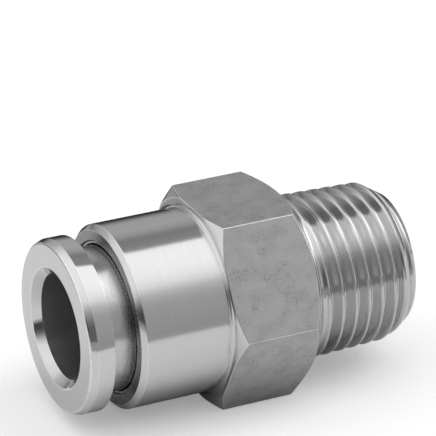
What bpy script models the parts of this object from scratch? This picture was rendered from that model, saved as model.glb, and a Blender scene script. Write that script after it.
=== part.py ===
"""Straight push-in fitting: a tube socket with a release sleeve, a hexagon and a male taper thread.

The fitting lies on one flat of its hexagon. Its axis runs along X: the tube goes in from -X, and the
thread points to +X. Depths are measured from the socket's mouth inwards, along +X.
"""

import math

import bmesh
import bpy
from mathutils import Vector

# Tube and seal
TUBE_DIAMETER = 0.0060
TUBE_CLEARANCE = 0.00008
TUBE_GUIDE_LENGTH = 0.00295
SEAL_CORD_DIAMETER = 0.00145
SEAL_SQUEEZE = 0.00005
SEAL_PLAY = 0.00045
FLOW_BORE_DIAMETER = 0.0044
FLOW_BORE_CHAMFER = 0.00015

# Body: socket, hexagon and thread
BODY_LENGTH = 0.01883
SEAL_SHOULDER = 0.00021
SOCKET_WALL = 0.00095
SOCKET_LENGTH = 0.00576
SOCKET_NOSE_CHAMFER = 0.0003
MOUTH_CHAMFER = 0.00005
COLLAR_HEIGHT = 0.0001
COLLAR_WIDTH = 0.00012
HEX_ACROSS_FLATS = 0.0120
HEX_LENGTH = 0.00584
HEX_FRONT_FACE_EXTRA = 0.0002
HEX_FRONT_CHAMFER_ANGLE = 30.0
HEX_REAR_FACE_INSET = 0.0003
HEX_REAR_CHAMFER_ANGLE = 35.0
THREAD_GAUGE_DIAMETER = 0.00998
THREAD_GAUGE_LENGTH = 0.0040
THREAD_TAPER = 1 / 16
THREAD_PITCH = 0.0254 / 28
THREAD_DEPTH_SHARE = 0.56
THREAD_CREST_SHARE = 0.14
THREAD_FLANK_ANGLE = 27.5
THREAD_START_TURN = 0.42
THREAD_RELIEF = 0.00015
THREAD_RUN_OUT = 0.0011
THREAD_END_CHAMFER = 0.0012
THREAD_END_CHAMFER_ANGLE = 32.5

# Release sleeve
RELEASE_TRAVEL = 0.0011
FLANGE_STOP_GAP = 0.00051
FLANGE_LENGTH = 0.00155
FLANGE_HEIGHT = 0.00091
FLANGE_CHAMFER_LENGTH = 0.00048
FLANGE_CHAMFER_HEIGHT = 0.00019
FLANGE_EDGE_RADIUS = 0.00006
LEAD_IN_HEIGHT = 0.00046
LEAD_IN_LENGTH = 0.0005
SLEEVE_BORE_CLEARANCE = 0.00022
NECK_REACH = 0.0005
NECK_ROOT_RADIUS = 0.00012
SNAP_WALL = 0.00055
BEAD_HEIGHT = 0.0003
BEAD_LENGTH = 0.00045
NOSE_WALL = 0.0004
NOSE_FRONT_WIDTH = 0.00012
SLIT_WIDTH = 0.0005
SLIT_COUNT = 4
SLIT_ROOT_MARGIN = 0.00045

# Guide ring
RING_RECESS = 0.0003
RING_WALL = 0.00015
LIP_LENGTH = 0.0010

# Toothed ring
TOOTH_BITE = 0.00005
TOOTH_ANGLE = 45.0
TOOTH_COUNT = 12
TOOTH_GAP_WIDTH = 0.00042
GRIP_RIM_WIDTH = 0.0006
GRIP_THICKNESS = 0.00025
TOOTH_ROOM = 0.00015

# Support ring
SUPPORT_LENGTH = 0.00175

# Clearances
PRESS_GAP = 0.00003
SEAT_GAP = 0.00005
RUNNING_CLEARANCE = 0.00008
STOP_CLEARANCE = 0.0001

# Roundness of turned pieces
TURNED_SIDES = 60
SEAL_CORD_SIDES = 16
FILLET_STEPS = 3
LONGEST_FILLET_SHARE = 0.45
SMOOTH_ANGLE = 30.0
FLAT_ANGLE = 0.01
MERGE_DISTANCE = 1e-7
CUTTER_OVERRUN = 0.0002
CUTTER_BLOCK_SCALE = 1.5

# Radii that follow from the tube outwards
TUBE_RADIUS = TUBE_DIAMETER / 2
GUIDE_BORE = TUBE_RADIUS + TUBE_CLEARANCE
SLEEVE_BORE = TUBE_RADIUS + SLEEVE_BORE_CLEARANCE
TOOTH_TIP = TUBE_RADIUS - TOOTH_BITE
SEAL_INNER = TUBE_RADIUS - SEAL_SQUEEZE
SEAL_SEAT = SEAL_INNER + SEAL_CORD_DIAMETER + SEAT_GAP
MOUTH_BORE = SEAL_SEAT + SEAL_SHOULDER
SOCKET_RADIUS = MOUTH_BORE + SOCKET_WALL
COLLAR_RADIUS = SOCKET_RADIUS + COLLAR_HEIGHT
PRESSED_RADIUS = MOUTH_BORE - PRESS_GAP
RING_COUNTERBORE = PRESSED_RADIUS - RING_WALL
NECK_RADIUS = RING_COUNTERBORE - RUNNING_CLEARANCE
FLANGE_RADIUS = NECK_RADIUS + FLANGE_HEIGHT
SNAP_RADIUS = SLEEVE_BORE + SNAP_WALL
BEAD_RADIUS = SNAP_RADIUS + BEAD_HEIGHT
LIP_BORE = SNAP_RADIUS + RUNNING_CLEARANCE
CHAMBER_RADIUS = BEAD_RADIUS + RUNNING_CLEARANCE
GRIP_RADIUS = MOUTH_BORE - RUNNING_CLEARANCE
TOOTH_ROOT = GRIP_RADIUS - GRIP_RIM_WIDTH
FLOW_BORE = FLOW_BORE_DIAMETER / 2
HEX_CORNER = HEX_ACROSS_FLATS / 2 / math.cos(math.pi / 6)
HEX_FRONT_FACE = HEX_ACROSS_FLATS / 2 + HEX_FRONT_FACE_EXTRA
HEX_REAR_FACE = HEX_ACROSS_FLATS / 2 - HEX_REAR_FACE_INSET

# Depths that follow from the mouth inwards
LIP_START = NECK_REACH + RELEASE_TRAVEL + STOP_CLEARANCE
LIP_END = LIP_START + LIP_LENGTH
BEAD_START = LIP_END + SEAT_GAP
BEAD_END = BEAD_START + BEAD_LENGTH
CHAMBER_END = BEAD_END + RELEASE_TRAVEL + STOP_CLEARANCE
GRIP_START = CHAMBER_END + SEAT_GAP
GRIP_END = GRIP_START + GRIP_THICKNESS
SUPPORT_START = GRIP_END + SEAT_GAP
SUPPORT_END = SUPPORT_START + SUPPORT_LENGTH
SEAT_START = SUPPORT_END + SEAT_GAP
SEAT_END = SEAT_START + SEAL_CORD_DIAMETER + SEAL_PLAY
TUBE_STOP = SEAT_END + TUBE_GUIDE_LENGTH
HEX_START = SOCKET_LENGTH
HEX_END = HEX_START + HEX_LENGTH
FLANGE_BACK = -(RELEASE_TRAVEL + FLANGE_STOP_GAP)
FLANGE_FRONT = FLANGE_BACK - FLANGE_LENGTH
OVERALL_LENGTH = BODY_LENGTH - FLANGE_FRONT


def clear_scene():
    for obj in list(bpy.data.objects):
        bpy.data.objects.remove(obj, do_unlink=True)


def metal(name, colour, roughness):
    material = bpy.data.materials.new(name)
    material.use_nodes = True
    shader = material.node_tree.nodes["Principled BSDF"]
    shader.inputs["Base Color"].default_value = (*colour, 1.0)
    shader.inputs["Metallic"].default_value = 1.0
    shader.inputs["Roughness"].default_value = roughness
    return material


def rubber(name, colour, roughness):
    material = metal(name, colour, roughness)
    material.node_tree.nodes["Principled BSDF"].inputs["Metallic"].default_value = 0.0
    return material


def fillet_points(before, corner, after, radius):
    """The arc that rounds a corner of a profile, no longer than its shorter side allows."""
    to_before = before - corner
    to_after = after - corner
    half_angle = to_before.angle(to_after) / 2
    reach = min(radius / math.tan(half_angle), LONGEST_FILLET_SHARE * min(to_before.length, to_after.length))
    rounding = reach * math.tan(half_angle)
    bisector = (to_before.normalized() + to_after.normalized()).normalized()
    centre = corner + bisector * (rounding / math.sin(half_angle))
    first = corner + to_before.normalized() * reach - centre
    last = corner + to_after.normalized() * reach - centre
    start = math.atan2(first.y, first.x)
    turn = math.atan2(first.cross(last), first.dot(last))
    arc = []
    for step in range(FILLET_STEPS + 1):
        angle = start + turn * step / FILLET_STEPS
        arc.append(centre + rounding * Vector((math.cos(angle), math.sin(angle))))
    return arc


def profile(*corners):
    """A closed profile of (depth, radius) corners. A third number rounds that corner."""
    places = [Vector(corner[:2]) for corner in corners]
    points = []
    for index, corner in enumerate(corners):
        if len(corner) == 3:
            after = places[(index + 1) % len(places)]
            points += fillet_points(places[index - 1], places[index], after, corner[2])
        else:
            points.append(places[index])
    return points


def finish_mesh(bm, name):
    bmesh.ops.remove_doubles(bm, verts=bm.verts, dist=MERGE_DISTANCE)
    bmesh.ops.recalc_face_normals(bm, faces=bm.faces)
    mesh = bpy.data.meshes.new(name)
    bm.to_mesh(mesh)
    bm.free()
    return mesh


def add_object(name, mesh, axis):
    obj = bpy.data.objects.new(name, mesh)
    bpy.context.scene.collection.objects.link(obj)
    obj.parent = axis
    return obj


def dressed_object(name, bm, axis, material):
    obj = add_object(name, finish_mesh(bm, name), axis)
    obj.data.shade_smooth()
    obj.data.set_sharp_from_angle(angle=math.radians(SMOOTH_ANGLE))
    obj.data.materials.append(material)
    return obj


def turned_piece(name, points, axis, material):
    """A solid of revolution about the fitting's axis, from a closed profile."""
    bm = bmesh.new()
    verts = [bm.verts.new((point.x, point.y, 0.0)) for point in points]
    edges = [bm.edges.new((verts[i - 1], verts[i])) for i in range(len(verts))]
    bmesh.ops.spin(
        bm,
        geom=verts + edges,
        cent=(0, 0, 0),
        axis=(1, 0, 0),
        angle=2 * math.pi,
        steps=TURNED_SIDES,
    )
    return dressed_object(name, bm, axis, material)


def threaded_piece(name, points_at, axis, material):
    """A solid about the fitting's axis whose closed profile changes with the share of a turn.

    A thread's profile moves on by one pitch in a turn, so its last profile joins up with its first.
    """
    bm = bmesh.new()
    before = []
    for step in range(TURNED_SIDES + 1):
        turn = step / TURNED_SIDES
        across = math.cos(2 * math.pi * turn)
        up = math.sin(2 * math.pi * turn)
        line = [bm.verts.new((point.x, point.y * across, point.y * up)) for point in points_at(turn)]
        for index in range(len(before)):
            bm.faces.new((before[index - 1], before[index], line[index], line[index - 1]))
        before = line
    bmesh.ops.remove_doubles(bm, verts=bm.verts, dist=MERGE_DISTANCE)
    bmesh.ops.connect_verts_nonplanar(bm, angle_limit=math.radians(FLAT_ANGLE), faces=bm.faces)
    return dressed_object(name, bm, axis, material)


def cut(obj, cutter):
    """Cuts a helper's shape out of a piece. The helper isn't part of the fitting."""
    cutter.hide_render = True
    cutter.display_type = "WIRE"
    modifier = obj.modifiers.new(cutter.name, "BOOLEAN")
    modifier.operation = "DIFFERENCE"
    modifier.solver = "EXACT"
    modifier.object = cutter


def hexagon_loop(bm, depth, corner_radius):
    """The edges of a hexagon across the axis, with two of its flats level."""
    corners = []
    for index in range(6):
        angle = math.pi / 3 * index
        across = corner_radius * math.cos(angle)
        up = corner_radius * math.sin(angle)
        corners.append(bm.verts.new((depth, across, up)))
    return [bm.edges.new((corners[index - 1], corners[index])) for index in range(6)]


def add_flats_cutter(axis):
    """A tube with a hexagonal hole, which leaves the six flats of the hexagon."""
    bm = bmesh.new()
    start = HEX_START - CUTTER_OVERRUN
    inside = hexagon_loop(bm, start, HEX_CORNER)
    outside = hexagon_loop(bm, start, HEX_CORNER * CUTTER_BLOCK_SCALE)
    end_face = bmesh.ops.bridge_loops(bm, edges=inside + outside)["faces"]
    grown = bmesh.ops.extrude_face_region(bm, geom=end_face)["geom"]
    moved = [item for item in grown if isinstance(item, bmesh.types.BMVert)]
    length = HEX_LENGTH + 2 * CUTTER_OVERRUN
    bmesh.ops.translate(bm, verts=moved, vec=(length, 0, 0))
    return add_object("flats_cutter", finish_mesh(bm, "flats_cutter"), axis)


def add_radial_cutter(name, count, width, inner, outer, start, end, axis):
    """Narrow bars that stand out from the axis all round, for slits and for the gaps between teeth."""
    bm = bmesh.new()
    first_turn = math.pi / count
    for index in range(count):
        turn = first_turn + 2 * math.pi * index / count
        along = Vector((0, math.cos(turn), math.sin(turn)))
        aside = Vector((0, -math.sin(turn), math.cos(turn))) * width / 2
        corners = []
        for reach in (inner, outer):
            for side in (-aside, aside):
                corners.append(bm.verts.new(Vector((start, 0, 0)) + along * reach + side))
        face = bm.faces.new((corners[0], corners[1], corners[3], corners[2]))
        grown = bmesh.ops.extrude_face_region(bm, geom=[face])["geom"]
        moved = [item for item in grown if isinstance(item, bmesh.types.BMVert)]
        bmesh.ops.translate(bm, verts=moved, vec=(end - start, 0, 0))
    return add_object(name, finish_mesh(bm, name), axis)


def thread_crest(depth):
    """The radius over the thread's crests, which grows from the thread's end to the hexagon."""
    gauge_plane = BODY_LENGTH - THREAD_GAUGE_LENGTH
    return THREAD_GAUGE_DIAMETER / 2 + (gauge_plane - depth) * THREAD_TAPER / 2


def thread_form():
    """One pitch of the thread from the start of a crest, as (place, depth) shares of the pitch."""
    flank = THREAD_DEPTH_SHARE * math.tan(math.radians(THREAD_FLANK_ANGLE))
    root_start = THREAD_CREST_SHARE + flank
    return (
        (0, 0),
        (THREAD_CREST_SHARE, 0),
        (root_start, THREAD_DEPTH_SHARE),
        (1 - flank, THREAD_DEPTH_SHARE),
    )


def thread_points(turn):
    """The thread's outline at a share of a turn. Its groove fades out in front of the hexagon."""
    chamfer_start = BODY_LENGTH - THREAD_END_CHAMFER
    chamfer_slope = math.tan(math.radians(THREAD_END_CHAMFER_ANGLE))
    ridges = math.ceil((BODY_LENGTH - HEX_END) / THREAD_PITCH)
    points = []
    for ridge in range(-2, ridges + 1):
        for place, groove in thread_form():
            depth = HEX_END + (ridge + THREAD_START_TURN + turn + place) * THREAD_PITCH
            depth = min(max(depth, HEX_END), BODY_LENGTH)
            cut_share = min(max((depth - HEX_END - THREAD_RELIEF) / THREAD_RUN_OUT, 0), 1)
            radius = thread_crest(depth) - groove * THREAD_PITCH * cut_share
            end_cone = thread_crest(chamfer_start) - (depth - chamfer_start) * chamfer_slope
            points.append(Vector((depth, min(radius, end_cone))))
    return points


def body_profile(turn):
    """The socket, the hexagon's round blank and the thread, then the stepped bore back to the mouth."""
    blank = HEX_CORNER + STOP_CLEARANCE
    front_rise = (blank - HEX_FRONT_FACE) * math.tan(math.radians(HEX_FRONT_CHAMFER_ANGLE))
    rear_rise = (blank - HEX_REAR_FACE) * math.tan(math.radians(HEX_REAR_CHAMFER_ANGLE))
    outside = profile(
        (0, MOUTH_BORE + MOUTH_CHAMFER),
        (0, SOCKET_RADIUS - SOCKET_NOSE_CHAMFER),
        (SOCKET_NOSE_CHAMFER, SOCKET_RADIUS),
        (HEX_START - COLLAR_WIDTH, SOCKET_RADIUS),
        (HEX_START - COLLAR_WIDTH, COLLAR_RADIUS),
        (HEX_START, COLLAR_RADIUS),
        (HEX_START, HEX_FRONT_FACE),
        (HEX_START + front_rise, blank),
        (HEX_END - rear_rise, blank),
        (HEX_END, HEX_REAR_FACE),
    )
    bore = profile(
        (BODY_LENGTH, FLOW_BORE + FLOW_BORE_CHAMFER),
        (BODY_LENGTH - FLOW_BORE_CHAMFER, FLOW_BORE),
        (TUBE_STOP, FLOW_BORE),
        (TUBE_STOP, GUIDE_BORE),
        (SEAT_END, GUIDE_BORE),
        (SEAT_END, SEAL_SEAT),
        (SEAT_START, SEAL_SEAT),
        (SEAT_START, MOUTH_BORE),
        (MOUTH_CHAMFER, MOUTH_BORE),
    )
    return outside + thread_points(turn) + bore


def build_body(axis, material):
    body = threaded_piece("body", body_profile, axis, material)
    cut(body, add_flats_cutter(axis))
    return body


def build_release_sleeve(axis, material):
    """Flange and neck outside, and four snap fingers with a bead and a nose inside."""
    nose_front = SLEEVE_BORE + NOSE_FRONT_WIDTH
    nose_radius = SLEEVE_BORE + NOSE_WALL
    slope = math.tan(math.radians(TOOTH_ANGLE))
    nose_end = GRIP_START + (TOOTH_ROOT - nose_front) * slope - RELEASE_TRAVEL - STOP_CLEARANCE
    nose_cone = (nose_radius - nose_front) * slope
    points = profile(
        (FLANGE_FRONT, SLEEVE_BORE + LEAD_IN_HEIGHT),
        (FLANGE_FRONT, FLANGE_RADIUS - FLANGE_CHAMFER_HEIGHT),
        (FLANGE_FRONT + FLANGE_CHAMFER_LENGTH, FLANGE_RADIUS),
        (FLANGE_BACK, FLANGE_RADIUS, FLANGE_EDGE_RADIUS),
        (FLANGE_BACK, NECK_RADIUS, NECK_ROOT_RADIUS),
        (NECK_REACH, NECK_RADIUS),
        (NECK_REACH, SNAP_RADIUS),
        (BEAD_START, SNAP_RADIUS),
        (BEAD_START, BEAD_RADIUS),
        (BEAD_END, SNAP_RADIUS),
        (BEAD_END, nose_radius),
        (nose_end - nose_cone, nose_radius),
        (nose_end, nose_front),
        (nose_end, SLEEVE_BORE),
        (FLANGE_FRONT + LEAD_IN_LENGTH, SLEEVE_BORE),
    )
    sleeve = turned_piece("release_sleeve", points, axis, material)
    slits = add_radial_cutter(
        "slit_cutter",
        SLIT_COUNT,
        SLIT_WIDTH,
        SLEEVE_BORE - CUTTER_OVERRUN,
        BEAD_RADIUS + CUTTER_OVERRUN,
        NECK_REACH + SLIT_ROOT_MARGIN,
        nose_end + CUTTER_OVERRUN,
        axis,
    )
    cut(sleeve, slits)
    return sleeve


def build_guide_ring(axis, material):
    """Pressed into the mouth. Its lip guides the sleeve and stands in front of the sleeve's bead."""
    points = profile(
        (RING_RECESS, RING_COUNTERBORE),
        (RING_RECESS, PRESSED_RADIUS),
        (CHAMBER_END, PRESSED_RADIUS),
        (CHAMBER_END, CHAMBER_RADIUS),
        (LIP_END, CHAMBER_RADIUS),
        (LIP_END, LIP_BORE),
        (LIP_START, LIP_BORE),
        (LIP_START, RING_COUNTERBORE),
    )
    return turned_piece("guide_ring", points, axis, material)


def tooth_corners():
    """The tooth's tip in front and behind, and where its back meets the rim, as (depth, radius)."""
    angle = math.radians(TOOTH_ANGLE)
    back = Vector((math.cos(angle), math.sin(angle)))
    outwards = Vector((-math.sin(angle), math.cos(angle)))
    tip_front = Vector((GRIP_START + (TOOTH_ROOT - TOOTH_TIP) * math.tan(angle), TOOTH_TIP))
    tip_back = tip_front + back * GRIP_THICKNESS
    rim_back = tip_back + outwards * ((tip_back.x - GRIP_END) / math.sin(angle))
    return tip_front, tip_back, rim_back


def build_grip_ring(axis, material):
    """Spring-steel ring whose teeth lean inwards, away from the mouth, and bite on the tube."""
    tip_front, tip_back, rim_back = tooth_corners()
    points = profile(
        (GRIP_START, TOOTH_ROOT),
        (GRIP_START, GRIP_RADIUS),
        (GRIP_END, GRIP_RADIUS),
        tuple(rim_back),
        tuple(tip_back),
        tuple(tip_front),
    )
    ring = turned_piece("grip_ring", points, axis, material)
    gaps = add_radial_cutter(
        "tooth_gap_cutter",
        TOOTH_COUNT,
        TOOTH_GAP_WIDTH,
        TOOTH_TIP - CUTTER_OVERRUN,
        TOOTH_ROOT - CUTTER_OVERRUN,
        GRIP_START - CUTTER_OVERRUN,
        tip_back.x + CUTTER_OVERRUN,
        axis,
    )
    cut(ring, gaps)
    return ring


def build_support_ring(axis, material):
    """Holds the toothed ring off the seal. Its cone leaves the teeth room to flex."""
    tip_back = tooth_corners()[1]
    slope = math.tan(math.radians(TOOTH_ANGLE))
    bore = GUIDE_BORE
    cone_end = tip_back.x + TOOTH_ROOM + (tip_back.y - bore) * slope
    cone_front = bore + (cone_end - SUPPORT_START) / slope
    points = profile(
        (SUPPORT_START, cone_front),
        (SUPPORT_START, PRESSED_RADIUS),
        (SUPPORT_END, PRESSED_RADIUS),
        (SUPPORT_END, bore),
        (cone_end, bore),
    )
    return turned_piece("support_ring", points, axis, material)


def build_tube_seal(axis, material):
    """Rubber ring of round cord, against the support ring in its seat."""
    cord = SEAL_CORD_DIAMETER / 2
    centre = Vector((SEAT_START + cord, SEAL_INNER + cord))
    points = []
    for index in range(SEAL_CORD_SIDES):
        angle = 2 * math.pi * index / SEAL_CORD_SIDES
        points.append(centre + cord * Vector((math.cos(angle), math.sin(angle))))
    return turned_piece("tube_seal", points, axis, material)


def main():
    clear_scene()
    axis = bpy.data.objects.new("tube_axis", None)
    bpy.context.scene.collection.objects.link(axis)
    mouth = -OVERALL_LENGTH / 2 - FLANGE_FRONT
    axis.location = (mouth, 0, HEX_ACROSS_FLATS / 2)

    body_steel = metal("body_steel", (0.58, 0.58, 0.58), 0.28)
    sleeve_steel = metal("sleeve_steel", (0.60, 0.60, 0.60), 0.2)
    ring_steel = metal("ring_steel", (0.50, 0.50, 0.50), 0.3)
    spring_steel = metal("spring_steel", (0.46, 0.46, 0.46), 0.25)
    seal_rubber = rubber("seal_rubber", (0.02, 0.02, 0.02), 0.6)

    build_body(axis, body_steel)
    build_release_sleeve(axis, sleeve_steel)
    build_guide_ring(axis, ring_steel)
    build_grip_ring(axis, spring_steel)
    build_support_ring(axis, ring_steel)
    build_tube_seal(axis, seal_rubber)


main()
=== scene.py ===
"""The looks of a straight push-in fitting in turned stainless steel.

The fitting lies on one flat of its hexagon. A tube goes in from -X, and the thread points to +X. Sizes are
in metres. Depths are measured from the socket's mouth inwards, along +X, and each piece's own frame has its
origin on the fitting's axis at the mouth.
"""

import functools
import logging
import math
from dataclasses import dataclass, field
from enum import Enum
from typing import ClassVar, Sequence

import bmesh
import bpy
from mathutils import Matrix, Vector


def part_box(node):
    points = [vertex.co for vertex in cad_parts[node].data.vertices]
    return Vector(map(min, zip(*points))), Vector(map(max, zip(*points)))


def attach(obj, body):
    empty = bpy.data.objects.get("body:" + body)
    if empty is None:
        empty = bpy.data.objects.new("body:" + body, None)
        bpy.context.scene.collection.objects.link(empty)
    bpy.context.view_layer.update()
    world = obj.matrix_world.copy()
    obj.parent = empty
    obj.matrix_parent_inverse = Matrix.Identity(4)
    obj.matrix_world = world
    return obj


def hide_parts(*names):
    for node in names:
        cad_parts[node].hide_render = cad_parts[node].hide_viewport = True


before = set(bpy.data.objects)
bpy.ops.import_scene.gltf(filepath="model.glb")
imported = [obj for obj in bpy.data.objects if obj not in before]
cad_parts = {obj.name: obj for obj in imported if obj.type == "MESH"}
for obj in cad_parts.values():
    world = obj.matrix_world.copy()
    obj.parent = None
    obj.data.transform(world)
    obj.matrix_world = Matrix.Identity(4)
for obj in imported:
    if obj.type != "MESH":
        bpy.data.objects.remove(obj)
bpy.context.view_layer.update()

MM = 0.001
INCH = 25.4 * MM
EDGE_ATTRIBUTE = "edge"
MERGE_DISTANCE = 2e-7
WHITE = (1.0, 1.0, 1.0, 1.0)

# Share of a stretch that the rounding of the corner beside it may take up
ROUNDING_LIMIT = 0.45

# Gaps between neighbouring rings, round a fixed ring in the mouth, and round the ring that turns there
RING_GAP = 0.05 * MM
RING_FIT = 0.03 * MM
TURNING_FIT = 0.08 * MM

log = logging.getLogger("fitting")


class Finish(Enum):
    """How a stretch of a piece was made, which says what its surface looks like.

    PLAIN is the piece's usual finish.
    """

    PLAIN = "plain"
    DRAWN = "drawn"
    THREADED = "threaded"
    BORED = "bored"
    GROOVED = "grooved"
    FACED = "faced"


class Body(Enum):
    """The moving bodies that the pieces ride on."""

    FITTING = "fitting"
    GRIP = "grip"
    SLEEVE = "sleeve"


@dataclass(frozen=True)
class Axis:
    """The fitting's axis: where the mouth is along X, and how high the axis lies.

    Attributes:
        mouth: X of the socket's mouth.
        height: Z of the axis.
    """

    mouth: float
    height: float

    @classmethod
    def from_frame(cls) -> "Axis":
        """Reads the axis from the body's box in the frame."""
        low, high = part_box("body")
        return cls(mouth=low.x, height=(low.z + high.z) / 2)

    def origin(self) -> Vector:
        """The origin of the pieces' own frame."""
        return Vector((self.mouth, 0.0, self.height))


@dataclass(frozen=True)
class Corner:
    """A corner of an outline.

    Attributes:
        depth: Distance from the mouth, along the axis.
        radius: Distance from the axis.
        rounding: Radius of the arc that rounds the corner, or 0.
        finish: Finish of the stretch that follows.
    """

    depth: float
    radius: float
    rounding: float = 0.0
    finish: Finish = Finish.PLAIN


@dataclass(frozen=True)
class Spot:
    """A point of an outline, once its corners are rounded.

    Attributes:
        depth: Distance from the mouth, along the axis.
        radius: Distance from the axis.
        edge: How much of an edge the point is, from 0 to 1.
        finish: Finish of the stretch that follows.
    """

    depth: float
    radius: float
    edge: float = 0.0
    finish: Finish = Finish.PLAIN


def arc(centre: Vector, radius: float, first: float, last: float, steps: int, finish: Finish) -> list[Spot]:
    """Points along an arc of an outline.

    Args:
        centre: Centre as (depth, radius).
        radius: Radius of the arc.
        first: Angle of its first point, in degrees from +X towards the outside.
        last: Angle of its last point.
        steps: Number of stretches between the points.
        finish: Finish of the arc and of the stretch that follows.

    Returns:
        The arc's points, which count as an edge most of all in the middle.
    """
    spots = []
    for step in range(steps + 1):
        angle = math.radians(first + (last - first) * step / steps)
        place = centre + radius * Vector((math.cos(angle), math.sin(angle)))
        spots.append(Spot(place.x, place.y, math.sin(math.pi * step / steps), finish))
    return spots


def rounded(corners: Sequence[Corner], steps: int) -> list[Spot]:
    """Rounds the corners of an outline.

    Args:
        corners: The outline's corners, in order. The first and last are joined.
        steps: Number of stretches in each arc.

    Returns:
        The outline's points.
    """
    places = [Vector((corner.depth, corner.radius)) for corner in corners]
    spots = []
    for index, corner in enumerate(corners):
        place = places[index]
        to_before = places[index - 1] - place
        to_after = places[(index + 1) % len(places)] - place
        half_angle = to_before.angle(to_after) / 2
        reach = corner.rounding / math.tan(half_angle)
        reach = min(reach, ROUNDING_LIMIT * min(to_before.length, to_after.length))
        if reach <= 0:
            spots.append(Spot(corner.depth, corner.radius, 0.0, corner.finish))
            continue
        rounding = reach * math.tan(half_angle)
        bisector = (to_before.normalized() + to_after.normalized()).normalized()
        centre = place + bisector * (rounding / math.sin(half_angle))
        start = place + to_before.normalized() * reach - centre
        end = place + to_after.normalized() * reach - centre
        first = math.degrees(math.atan2(start.y, start.x))
        turn = math.degrees(math.atan2(start.cross(end), start.dot(end)))
        bent = arc(centre, rounding, first, first + turn, steps, corner.finish)
        outwards = start.cross(end) < 0
        spots += bent if outwards else [Spot(spot.depth, spot.radius, 0.0, spot.finish) for spot in bent]
    return spots


def even_angles(count: int) -> list[float]:
    """Angles at an even spacing, from 0 up to 360 degrees."""
    return [360.0 * index / count for index in range(count)]


def finished_mesh(draft: bmesh.types.BMesh, name: str) -> bpy.types.Mesh:
    """Makes a mesh of a working mesh and frees that.

    Args:
        draft: The working mesh.
        name: Name of the mesh.

    Returns:
        The mesh.
    """
    mesh = bpy.data.meshes.new(name)
    draft.to_mesh(mesh)
    draft.free()
    return mesh


def add_object(name: str, mesh: bpy.types.Mesh, place: Vector) -> bpy.types.Object:
    """Puts a mesh in the scene as an object.

    Args:
        name: Name of the object.
        mesh: The mesh.
        place: Where the origin of the mesh lies.

    Returns:
        The object.
    """
    obj = bpy.data.objects.new(name, mesh)
    obj.location = place
    bpy.context.scene.collection.objects.link(obj)
    return obj


def even_shading(obj: bpy.types.Object) -> None:
    """Keeps large faces flat in the shading, next to narrow rounded edges.

    Args:
        obj: The piece.
    """
    modifier = obj.modifiers.new("even_shading", "WEIGHTED_NORMAL")
    modifier.mode = "FACE_AREA_WITH_ANGLE"
    modifier.weight = 50
    modifier.keep_sharp = True


@dataclass(frozen=True)
class Bars:
    """Narrow bars that stand out from the axis all round and are cut out of a piece.

    Attributes:
        name: Name of the cut.
        count: Number of bars.
        width: Width of a bar.
        radii: Radii between which a bar reaches.
        depths: Depths between which it reaches.
        first: Where the first bar lies, as a share of the spacing.
    """

    name: str
    count: int
    width: float
    radii: tuple[float, float]
    depths: tuple[float, float]
    first: float = 0.5

    def cut(self, obj: bpy.types.Object, axis: Axis) -> None:
        """Cuts the bars out of a piece and leaves no helper behind.

        Args:
            obj: The piece.
            axis: The fitting's axis.
        """
        draft = bmesh.new()
        draft.verts.layers.float.new(EDGE_ATTRIBUTE)
        inner, outer = self.radii
        start, end = self.depths
        size = Matrix.Diagonal((end - start, outer - inner, self.width, 1.0))
        middle = Matrix.Translation(((start + end) / 2, (inner + outer) / 2, 0.0))
        for index in range(self.count):
            turn = Matrix.Rotation(2 * math.pi * (index + self.first) / self.count, 4, "X")
            bmesh.ops.create_cube(draft, size=1.0, matrix=turn @ middle @ size)
        helper = add_object(self.name, finished_mesh(draft, self.name), axis.origin())
        modifier = obj.modifiers.new(self.name, "BOOLEAN")
        modifier.operation = "DIFFERENCE"
        modifier.solver = "EXACT"
        modifier.object = helper
        bpy.context.view_layer.update()
        cut_obj = obj.evaluated_get(bpy.context.evaluated_depsgraph_get())
        cut_mesh = bpy.data.meshes.new_from_object(cut_obj)
        obj.modifiers.remove(modifier)
        obj.data = cut_mesh
        bpy.data.objects.remove(helper)


Socket = bpy.types.NodeSocket
Colour = tuple[float, float, float, float]


def grey(level: float) -> Colour:
    """A grey as a colour."""
    return (level, level, level, 1.0)


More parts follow.
